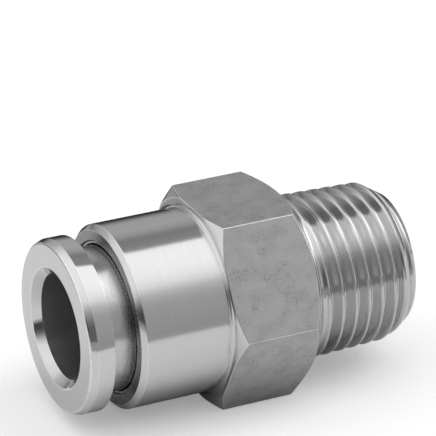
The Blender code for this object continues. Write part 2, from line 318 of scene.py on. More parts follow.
class Tree:
    """Adds nodes to a node tree and joins them."""

    def __init__(self, tree: bpy.types.NodeTree) -> None:
        """Keeps the tree."""
        self.tree = tree

    def feed(self, target: Socket, value: object) -> None:
        """Links a socket to an input, or sets the input to a value.

        Args:
            target: The input.
            value: The socket or value.
        """
        if isinstance(value, Socket):
            self.tree.links.new(value, target)
        else:
            target.default_value = value

    def node(self, kind: str, **inputs: object) -> bpy.types.Node:
        """Adds a node.

        Args:
            kind: Type of the node.
            inputs: Values or sockets for its inputs, by name, with _ for each space.

        Returns:
            The node.
        """
        made = self.tree.nodes.new(kind)
        self.fill(made, inputs)
        return made

    def fill(self, node: bpy.types.Node, inputs: dict[str, object]) -> None:
        """Feeds the inputs of a node, each by its name, with _ for each space."""
        for name, value in inputs.items():
            self.feed(node.inputs[name.replace("_", " ")], value)

    def math(self, operation: str, *values: object) -> Socket:
        """Adds a sum of numbers.

        Args:
            operation: Type of the sum.
            values: Numbers or sockets.

        Returns:
            Its result.
        """
        made = self.tree.nodes.new("ShaderNodeMath")
        made.operation = operation
        for target, value in zip(made.inputs, values):
            self.feed(target, value)
        return made.outputs[0]

    def distance(self, first: object, second: object) -> Socket:
        """Adds the distance between the origin and a point with two coordinates."""
        squares = [self.math("POWER", value, 2.0) for value in (first, second)]
        return self.math("SQRT", self.math("ADD", *squares))

    def between(self, value: object, low: float, high: float, start: float = 0.0, end: float = 1.0) -> Socket:
        """Turns one range of numbers into another, smoothly and held at its ends.

        Args:
            value: Number or socket.
            low: Value that becomes start.
            high: Value that becomes end.
            start: Result at low.
            end: Result at high.

        Returns:
            The result.
        """
        limits = {"From_Min": low, "From_Max": high, "To_Min": start, "To_Max": end}
        made = self.node("ShaderNodeMapRange", Value=value, **limits)
        made.interpolation_type = "SMOOTHSTEP"
        return made.outputs["Result"]

    def blend(self, share: object, first: object, second: object) -> Socket:
        """Mixes two colours.

        Args:
            share: Share of the second colour, from 0 to 1.
            first: The first colour.
            second: The second colour.

        Returns:
            The mixed colour.
        """
        made = self.tree.nodes.new("ShaderNodeMix")
        made.data_type = "RGBA"
        colour_inputs = (made.inputs[0], made.inputs[6], made.inputs[7])
        for target, value in zip(colour_inputs, (share, first, second)):
            self.feed(target, value)
        return made.outputs[2]

    def noise(self, place: object, scale: object, detail: float = 3.0) -> Socket:
        """Adds a noise texture and gives its value, which lies around a half."""
        return self.node("ShaderNodeTexNoise", Vector=place, Scale=scale, Detail=detail).outputs["Fac"]

    def place(self) -> Socket:
        """Adds the place in the object's own frame."""
        return self.node("ShaderNodeTexCoord").outputs["Object"]

    def bump(self, height: object) -> Socket:
        """Adds the normal of a surface that a height in metres makes uneven."""
        return self.node("ShaderNodeBump", Height=height, Distance=1.0, Strength=1.0).outputs["Normal"]

    def seen(self) -> Socket:
        """Adds a mask of what the camera sees, also through something clear."""
        rays = self.node("ShaderNodeLightPath").outputs
        return self.math("MAXIMUM", rays["Is Camera Ray"], rays["Is Transmission Ray"])


class Group(Tree):
    """A shader node group that takes a Position and numbers, and puts out numbers.

    Its given sockets bring what comes in, and its result sockets take what goes out.
    """

    def __init__(self, name: str, usual: dict[str, float], results: Sequence[str]) -> None:
        """Starts the group.

        Args:
            name: Name of the group.
            usual: Usual value of each number that comes in, by name.
            results: Names of the numbers that go out.
        """
        super().__init__(bpy.data.node_groups.new(name, "ShaderNodeTree"))
        sockets = self.tree.interface
        sockets.new_socket("Position", in_out="INPUT", socket_type="NodeSocketVector")
        for label, value in usual.items():
            made = sockets.new_socket(label, in_out="INPUT", socket_type="NodeSocketFloat")
            made.default_value = value
        for label in results:
            sockets.new_socket(label, in_out="OUTPUT", socket_type="NodeSocketFloat")
        self.given = self.node("NodeGroupInput").outputs
        self.result = self.node("NodeGroupOutput").inputs


class Effect(Enum):
    """The surface effects that several materials share, each a node group built once."""

    LATHE_MARKS = "lathe_marks"
    METAL_GRAIN = "metal_grain"
    EDGE_WEAR = "edge_wear"

    def group(self) -> bpy.types.NodeTree:
        """The effect's node group, built on its first use.

        Returns:
            The group.
        """
        known = bpy.data.node_groups.get(self.value)
        if known:
            return known
        builders = {
            Effect.LATHE_MARKS: build_lathe_marks,
            Effect.METAL_GRAIN: build_metal_grain,
            Effect.EDGE_WEAR: build_edge_wear,
        }
        return builders[self]()

    def add(self, tree: Tree, **inputs: object) -> dict[str, Socket]:
        """Places the effect in a material.

        Args:
            tree: The material's tree.
            inputs: Values or sockets for the group's inputs, by name, with _ for each space.

        Returns:
            The outputs, by name.
        """
        made = tree.node("ShaderNodeGroup")
        made.node_tree = self.group()
        tree.fill(made, inputs)
        return dict(made.outputs.items())


# Lathe marks outwards across a face, for each mark along the axis
MARKS_OUTWARDS = 1.37

# Radius within which the marks no longer change faster on their way round
INNERMOST = 0.1 * MM

# Values of the noise between which streaks and the fine tone grow from none to full
STREAK_RANGE = (0.3, 0.7)

# The same for clouds, for patches of larger pits, and for the unbroken lengths of a worn edge
CLOUD_RANGE = (0.35, 0.65)
PATCH_RANGE = (0.48, 0.62)
BREAK_RANGE = (0.3, 0.55)

# Size of a pit outside the patches, how much it grows within them, and the share of it that slopes down
LEAST_PIT = 0.6
PIT_GROWTH = 0.6
PIT_SLOPE = 0.6

# Wear that is left at a break, and values of the edge between which the wear grows from none to full
LEAST_WEAR = 0.45
WEAR_RANGE = (0.25, 0.9)


def build_lathe_marks() -> bpy.types.NodeTree:
    """Fine lines round the axis, as a cutting tool leaves them, each a little uneven on its way round.

    Returns:
        A group with the outputs Streak, from 0 to 1, and Height.
    """
    group = Group("lathe_marks", {"Lines": 12000.0, "Wander": 6.0}, ["Streak", "Height"])
    parts = group.node("ShaderNodeSeparateXYZ", Vector=group.given["Position"]).outputs
    radius = group.distance(parts["Y"], parts["Z"])
    along = group.math("MULTIPLY_ADD", radius, MARKS_OUTWARDS, parts["X"])
    wander = group.math("DIVIDE", group.given["Wander"], group.math("MAXIMUM", radius, INNERMOST))
    place = group.node(
        "ShaderNodeCombineXYZ",
        X=group.math("MULTIPLY", along, group.given["Lines"]),
        Y=group.math("MULTIPLY", parts["Y"], wander),
        Z=group.math("MULTIPLY", parts["Z"], wander),
    )
    lines = group.noise(place.outputs[0], 1.0)
    group.feed(group.result["Streak"], group.between(lines, *STREAK_RANGE))
    group.feed(group.result["Height"], lines)
    return group.tree


def build_metal_grain() -> bpy.types.NodeTree:
    """The grain of drawn bar: a fine tone, broad cloudy patches and small pits.

    Returns:
        A group with the outputs Tone, Cloud and Pit, each from 0 to 1, and Height.
    """
    usual = {"Grain": 9000.0, "Clouds": 1100.0, "Pits": 5200.0, "Pit Size": 0.2}
    group = Group("metal_grain", usual, ["Tone", "Cloud", "Pit", "Height"])
    place = group.given["Position"]
    fine = group.noise(place, group.given["Grain"])
    cloud = group.noise(place, group.given["Clouds"])
    cells = group.node("ShaderNodeTexVoronoi", Vector=place, Scale=group.given["Pits"])
    patches = group.between(cloud, *PATCH_RANGE)
    growth = group.math("MULTIPLY_ADD", patches, PIT_GROWTH, LEAST_PIT)
    size = group.math("MULTIPLY", group.given["Pit Size"], growth)
    closeness = group.math("SUBTRACT", 1.0, group.math("DIVIDE", cells.outputs["Distance"], size))
    pit = group.between(closeness, 0.0, PIT_SLOPE)
    group.feed(group.result["Tone"], group.between(fine, *STREAK_RANGE))
    group.feed(group.result["Cloud"], group.between(cloud, *CLOUD_RANGE))
    group.feed(group.result["Pit"], pit)
    group.feed(group.result["Height"], group.math("SUBTRACT", fine, pit))
    return group.tree


def build_edge_wear() -> bpy.types.NodeTree:
    """Edges rubbed bright, with breaks along them.

    Returns:
        A group with the output Worn, from 0 to 1.
    """
    group = Group("edge_wear", {"Breaks": 3000.0}, ["Worn"])
    edge = group.node("ShaderNodeAttribute")
    edge.attribute_name = EDGE_ATTRIBUTE
    broken = group.noise(group.given["Position"], group.given["Breaks"], 2.0)
    breaks = group.between(broken, *BREAK_RANGE, LEAST_WEAR, 1.0)
    worn = group.between(edge.outputs["Fac"], *WEAR_RANGE)
    group.feed(group.result["Worn"], group.math("MULTIPLY", worn, breaks))
    return group.tree


def new_material(name: str) -> tuple[bpy.types.Material, Tree, bpy.types.Node]:
    """Starts a material.

    Args:
        name: Name of the material.

    Returns:
        The material, its tree and its shader.
    """
    material = bpy.data.materials.new(name)
    material.use_nodes = True
    return material, Tree(material.node_tree), material.node_tree.nodes["Principled BSDF"]


@dataclass(frozen=True)
class SteelLook:
    """A finish of stainless steel.

    Attributes:
        name: Name of the material.
        tone: Grey of the clean steel.
        roughness: How blurred its reflections are, from 0 to 1.
        lines: Lathe marks for each metre.
        line_depth: Height of the lathe marks.
        line_contrast: Share by which the marks darken the steel.
        wander: How often a mark changes on its way round.
        stretch: How much reflections are drawn out along the axis, from 0 to 1.
        grain_depth: Height of the grain.
        grain_contrast: Share by which grain and patches darken the steel.
        pit_size: Size of the pits, as a share of their spacing.
        pit_contrast: Share by which a pit darkens the steel.
        dirt_tone: Grey towards which marks, grain and pits darken the steel.
        rough_spread: Share by which the roughness varies with the grain.
        worn_gain: How much brighter a worn edge is than the clean steel.
        worn_polish: Share of the roughness that wear takes away.
    """

    name: str
    tone: float
    roughness: float
    lines: float = 12000.0
    line_depth: float = 0.0
    line_contrast: float = 0.05
    wander: float = 6.0
    stretch: float = 0.0
    grain_depth: float = 0.0
    grain_contrast: float = 0.03
    pit_size: float = 0.001
    pit_contrast: float = 0.3
    dirt_tone: float = 0.05
    rough_spread: float = 0.3
    worn_gain: float = 1.25
    worn_polish: float = 0.35

    @functools.cache
    def material(self) -> bpy.types.Material:
        """The material, made on its first use.

        Returns:
            The material.
        """
        material, tree, shader = new_material(self.name)
        place = tree.place()
        marks = Effect.LATHE_MARKS.add(tree, Position=place, Lines=self.lines, Wander=self.wander)
        grain = Effect.METAL_GRAIN.add(tree, Position=place, Pit_Size=self.pit_size)
        worn = Effect.EDGE_WEAR.add(tree, Position=place)["Worn"]

        shade = tree.math("MULTIPLY", marks["Streak"], self.line_contrast)
        mottled = tree.math("ADD", grain["Tone"], grain["Cloud"])
        shade = tree.math("MULTIPLY_ADD", mottled, self.grain_contrast, shade)
        shade = tree.math("MULTIPLY_ADD", grain["Pit"], self.pit_contrast, shade)
        steel = tree.blend(shade, grey(self.tone), grey(self.dirt_tone))
        bright = grey(min(1.0, self.tone * self.worn_gain))
        tree.feed(shader.inputs["Base Color"], tree.blend(worn, steel, bright))

        least = self.roughness * (1 - self.rough_spread / 2)
        rough = tree.math("MULTIPLY_ADD", grain["Tone"], self.roughness * self.rough_spread, least)
        rough = tree.math("MULTIPLY_ADD", worn, -self.roughness * self.worn_polish, rough)
        tree.feed(shader.inputs["Roughness"], rough)
        shader.inputs["Metallic"].default_value = 1.0
        shader.inputs["Anisotropic"].default_value = self.stretch
        along = tree.node("ShaderNodeCombineXYZ", X=1.0).outputs[0]
        turned = tree.node("ShaderNodeVectorTransform", Vector=along)
        tree.feed(shader.inputs["Tangent"], turned.outputs["Vector"])

        height = tree.math("MULTIPLY", marks["Height"], self.line_depth)
        height = tree.math("MULTIPLY_ADD", grain["Height"], self.grain_depth, height)
        tree.feed(shader.inputs["Normal"], tree.bump(height))
        return material


TURNED_STEEL = SteelLook(
    "turned_steel",
    tone=0.67,
    roughness=0.14,
    lines=9000.0,
    line_depth=0.3e-6,
    line_contrast=0.03,
    wander=4.0,
    grain_contrast=0.006,
)
DRAWN_STEEL = SteelLook(
    "drawn_steel",
    tone=0.58,
    roughness=0.42,
    line_contrast=0.0,
    grain_depth=5e-6,
    grain_contrast=0.12,
    pit_size=0.32,
)
THREAD_STEEL = SteelLook(
    "thread_steel",
    tone=0.62,
    roughness=0.13,
    lines=9000.0,
    line_depth=0.3e-6,
    line_contrast=0.1,
    wander=5.0,
    stretch=0.6,
    grain_contrast=0.01,
)
BORE_STEEL = SteelLook(
    "bore_steel",
    tone=0.56,
    roughness=0.38,
    line_depth=0.1e-6,
    wander=3.0,
    grain_contrast=0.006,
)
SLEEVE_STEEL = SteelLook(
    "sleeve_steel",
    tone=0.68,
    roughness=0.1,
    lines=9000.0,
    line_depth=0.2e-6,
    line_contrast=0.02,
    wander=4.0,
    grain_contrast=0.004,
)
GROOVED_STEEL = SteelLook(
    "grooved_steel",
    tone=0.64,
    roughness=0.24,
    line_depth=0.8e-6,
    line_contrast=0.12,
    wander=5.0,
    stretch=0.8,
    grain_contrast=0.006,
)
# Steel of the socket's mouth face, with lathe marks like the rest. Its dark tone is painted shade for the gap
# between the sleeve's flange and the socket.
PAINTED_SHADE_FACE_STEEL = SteelLook(
    "painted_shade_face_steel",
    tone=0.27,
    roughness=0.26,
    lines=9000.0,
    line_depth=0.5e-6,
    line_contrast=0.1,
    wander=5.0,
    grain_contrast=0.01,
)
RING_STEEL = SteelLook("ring_steel", tone=0.36, roughness=0.28, line_depth=1e-6, line_contrast=0.08)
SPRING_STEEL = SteelLook("spring_steel", tone=0.46, roughness=0.24, grain_depth=2e-6, grain_contrast=0.08)


@dataclass(frozen=True)
class RubberLook:
    """A finish of moulded rubber.

    Attributes:
        name: Name of the material.
        tone: Grey of the rubber.
        roughness: How blurred its sheen is at the least, from 0 to 1.
        grain_depth: Height of its fine grain.
        pit_size: Size of its pits, as a share of their spacing.
        dusty_gain: How much brighter dusty patches are.
        rough_spread: How much rougher it is where the grain is palest.
    """

    name: str
    tone: float
    roughness: float
    grain_depth: float
    pit_size: float = 0.1
    dusty_gain: float = 2.0
    rough_spread: float = 0.15

    def material(self) -> bpy.types.Material:
        """Makes the material.

        Returns:
            The material.
        """
        material, tree, shader = new_material(self.name)
        grain = Effect.METAL_GRAIN.add(tree, Position=tree.place(), Pit_Size=self.pit_size)
        dusty = grey(self.tone * self.dusty_gain)
        tree.feed(shader.inputs["Base Color"], tree.blend(grain["Cloud"], grey(self.tone), dusty))
        rough = tree.math("MULTIPLY_ADD", grain["Tone"], self.rough_spread, self.roughness)
        tree.feed(shader.inputs["Roughness"], rough)
        height = tree.math("MULTIPLY", grain["Height"], self.grain_depth)
        tree.feed(shader.inputs["Normal"], tree.bump(height))
        return material


SEAL_RUBBER = RubberLook("seal_rubber", tone=0.02, roughness=0.5, grain_depth=2e-6)


@dataclass
class TurnedPiece:
    """A closed piece, made of an outline that goes round the axis.

    Attributes:
        NAME: Name of the piece.
        LOOKS: The looks of its finishes, in the order of its material slots.
        FLAT_FACES: Whether its large faces are kept flat in the shading.
        sides: Number of even steps round the axis.
        arc_steps: Number of stretches in the arc of a rounded corner.
    """

    NAME: ClassVar[str]
    LOOKS: ClassVar[dict[Finish, SteelLook | RubberLook]]
    FLAT_FACES: ClassVar[bool] = True
    sides: int = 240
    arc_steps: int = 5

    def corners(self) -> list[Corner]:
        """The corners of the outline, in order."""
        raise NotImplementedError

    @functools.cached_property
    def outline(self) -> list[Spot]:
        """The outline, for a piece that is the same all round."""
        return rounded(self.corners(), self.arc_steps)

    def column(self, angle: float) -> list[Spot]:
        """The outline at an angle, in degrees from +Y towards +Z, with as many points at each."""
        return self.outline

    def angles(self) -> list[float]:
        """The angles of the outlines, from 0 up to 360 degrees."""
        return even_angles(self.sides)

    def cuts(self) -> list[Bars]:
        """What is cut out of the piece."""
        return []

    def mesh(self) -> bpy.types.Mesh:
        """Joins the outlines to a closed mesh.

        Returns:
            The mesh.
        """
        draft = bmesh.new()
        edge_layer = draft.verts.layers.float.new(EDGE_ATTRIBUTE)
        slots = {finish: slot for slot, finish in enumerate(self.LOOKS)}
        before: list[bmesh.types.BMVert] = []
        for angle in (*self.angles(), 360.0):
            spots = self.column(angle)
            across, up = math.cos(math.radians(angle)), math.sin(math.radians(angle))
            line = []
            for spot in spots:
                vert = draft.verts.new((spot.depth, spot.radius * across, spot.radius * up))
                vert[edge_layer] = spot.edge
                line.append(vert)
            for index in range(len(before)):
                after = (index + 1) % len(line)
                face = draft.faces.new((before[index], before[after], line[after], line[index]))
                face.material_index = slots[spots[index].finish]
                face.smooth = True
            before = line
        bmesh.ops.remove_doubles(draft, verts=draft.verts, dist=MERGE_DISTANCE)
        bmesh.ops.recalc_face_normals(draft, faces=draft.faces)
        return finished_mesh(draft, self.NAME)

    def build(self, axis: Axis) -> bpy.types.Object:
        """Builds, dresses and places the piece.

        Args:
            axis: The fitting's axis.

        Returns:
            The piece.
        """
        obj = add_object(self.NAME, self.mesh(), axis.origin())
        for look in self.LOOKS.values():
            obj.data.materials.append(look.material())
        for bars in self.cuts():
            bars.cut(obj, axis)
        if self.FLAT_FACES:
            even_shading(obj)
        return obj


@dataclass
class Hexagon:
    """The hexagon that a spanner holds, with a chamfer at each end.

    Attributes:
        start: Depth of its front face.
        length: Length along the axis.
        across_flats: Distance between two opposite flats.
        front_face: Radius at which the front chamfer starts.
        front_angle: Angle of the front chamfer from the face, in degrees.
        rear_face: Radius at which the rear chamfer starts.
        rear_angle: Angle of the rear chamfer from the face, in degrees.
        rounding: Radius of the edges round the faces.
        corner_rounding: Radius of the six edges along the axis.
        corner_edge: How much of an edge a corner still is where its rounding ends.
        rim_edge: How much of an edge the rim of a flat is, at the least.
        face_steps: Number of stretches in the arc between a face and its chamfer.
        rim_steps: Number of stretches in the arc between a chamfer and the flats.
    """

    start: float = 5.76 * MM
    length: float = 5.84 * MM
    across_flats: float = 12.0 * MM
    front_face: float = 6.2 * MM
    front_angle: float = 30.0
    rear_face: float = 5.7 * MM
    rear_angle: float = 35.0
    rounding: float = 0.05 * MM
    corner_rounding: float = 0.1 * MM
    corner_edge: float = 0.3
    rim_edge: float = 0.3
    face_steps: int = 2
    rim_steps: int = 4

    def corner_centre(self) -> float:
        """Radius of the middle of a corner's rounding."""
        return (self.across_flats / 2 - self.corner_rounding) / math.cos(math.pi / 6)

    def corner_reach(self) -> float:
        """Angle from a corner's middle at which its rounding ends, in degrees.

        Returns:
            The angle.
        """
        aside = self.corner_rounding * math.sin(math.pi / 6)
        along = self.corner_centre() + self.corner_rounding * math.cos(math.pi / 6)
        return math.degrees(math.atan2(aside, along))

    def radius(self, angle: float) -> tuple[float, float]:
        """The hexagon's radius at an angle.

        Args:
            angle: Angle in degrees. A corner points to 0.

        Returns:
            The radius, and how much of an edge that place is, from 0 to 1.
        """
        from_flat = abs(angle % 60.0 - 30.0)
        from_corner = math.radians(30.0 - from_flat)
        reach = math.radians(self.corner_reach())
        if from_corner >= reach:
            return self.across_flats / 2 / math.cos(math.radians(from_flat)), 0.0
        centre = self.corner_centre()
        chord = math.sqrt(self.corner_rounding**2 - (centre * math.sin(from_corner)) ** 2)
        edge = 1.0 - (1.0 - self.corner_edge) * from_corner / reach
        return centre * math.cos(from_corner) + chord, edge

    def chamfer(self, face: float, degrees: float, top: float) -> tuple[float, float]:
        """Where the two arcs at the ends of a chamfer have their centres.

        Args:
            face: Radius at which the chamfer starts.
            degrees: Angle of the chamfer from the face.
            top: Radius of the outer arc's centre.

        Returns:
            Distance of the outer arc's centre from the face, and radius of the inner arc's centre.
        """
        rounding = self.rounding
        angle = math.radians(degrees)
        depth = rounding * math.cos(angle) + (top - face + rounding * math.sin(angle)) * math.tan(angle)
        low = face - rounding * math.sin(angle) + rounding * (1 - math.cos(angle)) / math.tan(angle)
        return depth, low

    def spots(self, angle: float) -> list[Spot]:
        """The outline from the front face to the rear face at an angle.

        Args:
            angle: Angle in degrees.

        Returns:
            The outline's points.
        """
        reach, edge = self.radius(angle)
        rounding = self.rounding
        end = self.start + self.length
        top = reach - rounding
        front_depth, front_low = self.chamfer(self.front_face, self.front_angle, top)
        rear_depth, rear_low = self.chamfer(self.rear_face, self.rear_angle, top)
        first = Vector((self.start + rounding, front_low))
        second = Vector((self.start + front_depth, top))
        if front_depth <= rounding:
            first = second = Vector((self.start + rounding, top))
        third = Vector((end - rear_depth, top))
        fourth = Vector((end - rounding, rear_low))

        slope = 180.0 - self.front_angle
        spots = arc(first, rounding, 180.0, slope, self.face_steps, Finish.PLAIN)
        spots += arc(second, rounding, slope, 90.0, self.rim_steps, Finish.PLAIN)
        spots[-1] = Spot(spots[-1].depth, spots[-1].radius, max(edge, self.rim_edge), Finish.DRAWN)
        inset = 2 * rounding
        spots.append(Spot(spots[-1].depth + inset, reach, edge, Finish.DRAWN))
        spots.append(Spot(third.x - inset, reach, edge, Finish.DRAWN))
        spots += arc(third, rounding, 90.0, self.rear_angle, self.rim_steps, Finish.PLAIN)
        spots += arc(fourth, rounding, self.rear_angle, 0.0, self.face_steps, Finish.PLAIN)
        return spots


@dataclass
class TaperThread:
    """A male taper pipe thread with narrow crests and roots, which fades out at the hexagon.

    Attributes:
        start: Depth at which the thread meets the hexagon.
        end: Depth of the fitting's end face.
        gauge_diameter: Diameter over the crests at the gauge plane.
        gauge_length: Distance of the gauge plane from the end.
        taper: Growth of the diameter along the axis.
        pitch: Distance from crest to crest.
        crest_flat: Width of a crest's top, as a share of the pitch.
        crest_round: Radius of a crest's edges, as a share of the pitch.
        root_round: Radius of a root, as a share of the pitch.
        half_angle: Angle of a flank from a plane across the axis, in degrees.
        phase: Where a crest lies at angle 0, as a share of the pitch.
        end_chamfer: Length of the chamfer at the end.
        chamfer_angle: Angle of that chamfer to the axis, in degrees.
        run_out_start: Length at the hexagon without a groove.
        run_out: Length over which the groove fades out after that.
        spare_turns: Turns worked out beyond each end, where they shrink to nothing.
        crest_steps: Faces over the rounding of a crest's edge.
        root_steps: Faces over half a root.
        flank_steps: Faces over the straight part of a flank.
    """

    start: float = Hexagon.start + Hexagon.length
    end: float = 18.83 * MM
    gauge_diameter: float = 9.98 * MM
    gauge_length: float = 4.0 * MM
    taper: float = 1 / 16
    pitch: float = INCH / 28
    crest_flat: float = 0.12
    crest_round: float = 0.03
    root_round: float = 0.07
    half_angle: float = 29.0
    phase: float = 0.53
    end_chamfer: float = 1.2 * MM
    chamfer_angle: float = 32.5
    run_out_start: float = 0.15 * MM
    run_out: float = 1.1 * MM
    spare_turns: int = 2
    crest_steps: int = 2
    root_steps: int = 3
    flank_steps: int = 3

    def crest(self, depth: float) -> float:
        """Radius over the crests at a depth."""
        return self.gauge_diameter / 2 + (self.end - self.gauge_length - depth) * self.taper / 2

    def cone(self, depth: float) -> float:
        """Radius of the end chamfer at a depth."""
        start = self.end - self.end_chamfer
        return self.crest(start) - (depth - start) * math.tan(math.radians(self.chamfer_angle))

    def quarter(self, radius: float, steps: int) -> list[tuple[float, float]]:
        """The arc from the middle of a crest's edge or of a root to its flank.

        Args:
            radius: Radius of the arc, as a share of the pitch.
            steps: Number of faces.

        Returns:
            (place, sunk) pairs from the middle.
        """
        sweep = math.radians(90.0 - self.half_angle)
        angles = [sweep * step / steps for step in range(steps + 1)]
        return [(radius * math.sin(angle), radius * (1 - math.cos(angle))) for angle in angles]

    @functools.cached_property
    def form(self) -> list[tuple[float, float]]:
        """One turn of the thread's outline.

        Returns:
            (place, sunk) pairs from a crest to just before the next, both as shares of the pitch.
        """
        rim = self.quarter(self.crest_round, self.crest_steps)
        rim = [(self.crest_flat / 2 + place, sunk) for place, sunk in rim]
        root = self.quarter(self.root_round, self.root_steps)
        run = 0.5 - rim[-1][0] - root[-1][0]
        drop = run / math.tan(math.radians(self.half_angle))
        depth = rim[-1][1] + drop + root[-1][1]
        half = [(0.0, 0.0), *rim]
        for step in range(1, self.flank_steps):
            share = step / self.flank_steps
            half.append((rim[-1][0] + run * share, rim[-1][1] + drop * share))
        half += [(0.5 - place, depth - sunk) for place, sunk in root[::-1]]
        back = [(1.0 - place, sunk) for place, sunk in half[1:-1]]
        return half + back[::-1]

    def spots(self, angle: float) -> list[Spot]:
        """The outline of the thread at an angle, from the hexagon to the end face.

        Args:
            angle: Angle in degrees.

        Returns:
            The outline's points, as many at each angle.
        """
        spots = []
        crest_depth = self.start + self.phase * self.pitch
        first_turn = math.floor(-self.phase) - self.spare_turns
        turns = math.ceil((self.end - self.start) / self.pitch) + 2 * self.spare_turns
        for turn in range(first_turn, first_turn + turns):
            for place, sunk in self.form:
                along = crest_depth + (turn + place + angle / 360.0) * self.pitch
                held = min(max(along, self.start), self.end)
                fade = min(max((held - self.start - self.run_out_start) / self.run_out, 0.0), 1.0)
                fade = fade * fade * (3 - 2 * fade)
                groove = sunk * self.pitch * fade
                radius = min(self.crest(held) - groove, self.cone(held))
                if held >= self.end:
                    radius = self.cone(held)
                spots.append(Spot(held, radius, 0.0, Finish.THREADED))
        return spots


@dataclass
class FittingBody(TurnedPiece):
    """The body in one piece: socket, hexagon and thread round a stepped bore.

    Attributes:
        mouth_bore: Radius of the socket's mouth.
        mouth_chamfer: Chamfer of the mouth.
        socket_radius: Radius of the socket outside.
        nose_chamfer: Chamfer of the socket's front edge.
        nose_rounding: Rounding of that chamfer's own edges.
        collar_height: Height of the narrow collar at the hexagon.
        collar_width: Width of that collar.
        collar_rounding: Rounding at its foot.
        guard: Distance from the barrel's ends within which their roundings bend the shading.
        end_guard: The same distance on the end face.
        seal_seat: Radius of the seal's seat.
        seat_start: Depth at which the seat starts.
        seat_end: Depth at which it ends.
        guide_bore: Radius that guides the tube.
        tube_stop: Depth at which the tube stops.
        flow_bore: Radius of the bore behind the stop.
        bore_chamfer: Chamfer of that bore at the end face.
        edge_rounding: Rounding of the other edges.
        corner_shares: Where more angles lie beside a hexagon's corner, as shares of its reach.
        hexagon: The hexagon.
        thread: The thread.
    """

    NAME = "fitting_body"
    LOOKS = {
        Finish.PLAIN: TURNED_STEEL,
        Finish.DRAWN: DRAWN_STEEL,
        Finish.THREADED: THREAD_STEEL,
        Finish.BORED: BORE_STEEL,
        Finish.FACED: PAINTED_SHADE_FACE_STEEL,
    }
    mouth_bore: float = 4.66 * MM
    mouth_chamfer: float = 0.05 * MM
    socket_radius: float = 5.61 * MM
    nose_chamfer: float = 0.3 * MM
    nose_rounding: float = 0.08 * MM
    collar_height: float = 0.1 * MM
    collar_width: float = 0.12 * MM
    collar_rounding: float = 0.1 * MM
    guard: float = 0.2 * MM
    end_guard: float = 0.05 * MM
    seal_seat: float = 4.45 * MM
    seat_start: float = 6.55 * MM
    seat_end: float = 8.45 * MM
    guide_bore: float = 3.08 * MM
    tube_stop: float = 11.40 * MM
    flow_bore: float = 2.2 * MM
    bore_chamfer: float = 0.15 * MM
    edge_rounding: float = 0.03 * MM
    corner_shares: tuple[float, ...] = (0.35, 0.7, 1.0, 1.6)
    hexagon: Hexagon = field(default_factory=Hexagon)
    thread: TaperThread = field(default_factory=TaperThread)

    def angles(self) -> list[float]:
        """Even angles, with more of them at the hexagon's corners.

        Returns:
            The angles, from 0 up to 360 degrees.
        """
        reach = self.hexagon.corner_reach()
        angles = set(even_angles(self.sides))
        for corner in range(0, 360, 60):
            for share in self.corner_shares:
                angles.add(corner + reach * share)
                angles.add((corner - reach * share) % 360.0)
        return sorted(angles)

    @functools.cached_property
    def front(self) -> list[Spot]:
        """The outline from the mouth to the foot of the hexagon.

        Returns:
            The outline's points.
        """
        collar_start = self.hexagon.start - self.collar_width
        collar = self.socket_radius + self.collar_height
        corners = [
            Corner(0.0, self.mouth_bore + self.mouth_chamfer, self.edge_rounding, Finish.FACED),
            Corner(0.0, self.socket_radius - self.nose_chamfer, self.nose_rounding),
            Corner(self.nose_chamfer, self.socket_radius, self.nose_rounding),
            Corner(self.nose_chamfer + self.guard, self.socket_radius),
            Corner(collar_start - self.guard, self.socket_radius),
            Corner(collar_start, self.socket_radius, self.collar_rounding),
            Corner(collar_start, collar, self.edge_rounding),
            Corner(self.hexagon.start, collar),
        ]
        mouth = Corner(self.mouth_chamfer, self.mouth_bore)
        return rounded([*corners, mouth], self.arc_steps)[:-1]

    @functools.cached_property
    def bore(self) -> list[Spot]:
        """The outline of the bore, from the end face back to the mouth.

        Returns:
            The outline's points.
        """
        end = self.thread.end
        rim = self.flow_bore + self.bore_chamfer
        corners = [
            Corner(end, self.thread.cone(end) - self.end_guard),
            Corner(end, rim + self.end_guard),
            Corner(end, rim, self.edge_rounding, Finish.BORED),
            Corner(end - self.bore_chamfer, self.flow_bore, self.edge_rounding, Finish.BORED),
            Corner(self.tube_stop, self.flow_bore, self.edge_rounding, Finish.BORED),
            Corner(self.tube_stop, self.guide_bore, 0.0, Finish.BORED),
            Corner(self.seat_end, self.guide_bore, self.edge_rounding, Finish.BORED),
            Corner(self.seat_end, self.seal_seat, 0.0, Finish.BORED),
            Corner(self.seat_start, self.seal_seat, 0.0, Finish.BORED),
            Corner(self.seat_start, self.mouth_bore, 0.0, Finish.BORED),
            Corner(self.mouth_chamfer, self.mouth_bore, 0.0, Finish.FACED),
        ]
        return rounded(corners, self.arc_steps)

    def column(self, angle: float) -> list[Spot]:
        """The whole outline at an angle."""
        return self.front + self.hexagon.spots(angle) + self.thread.spots(angle) + self.bore


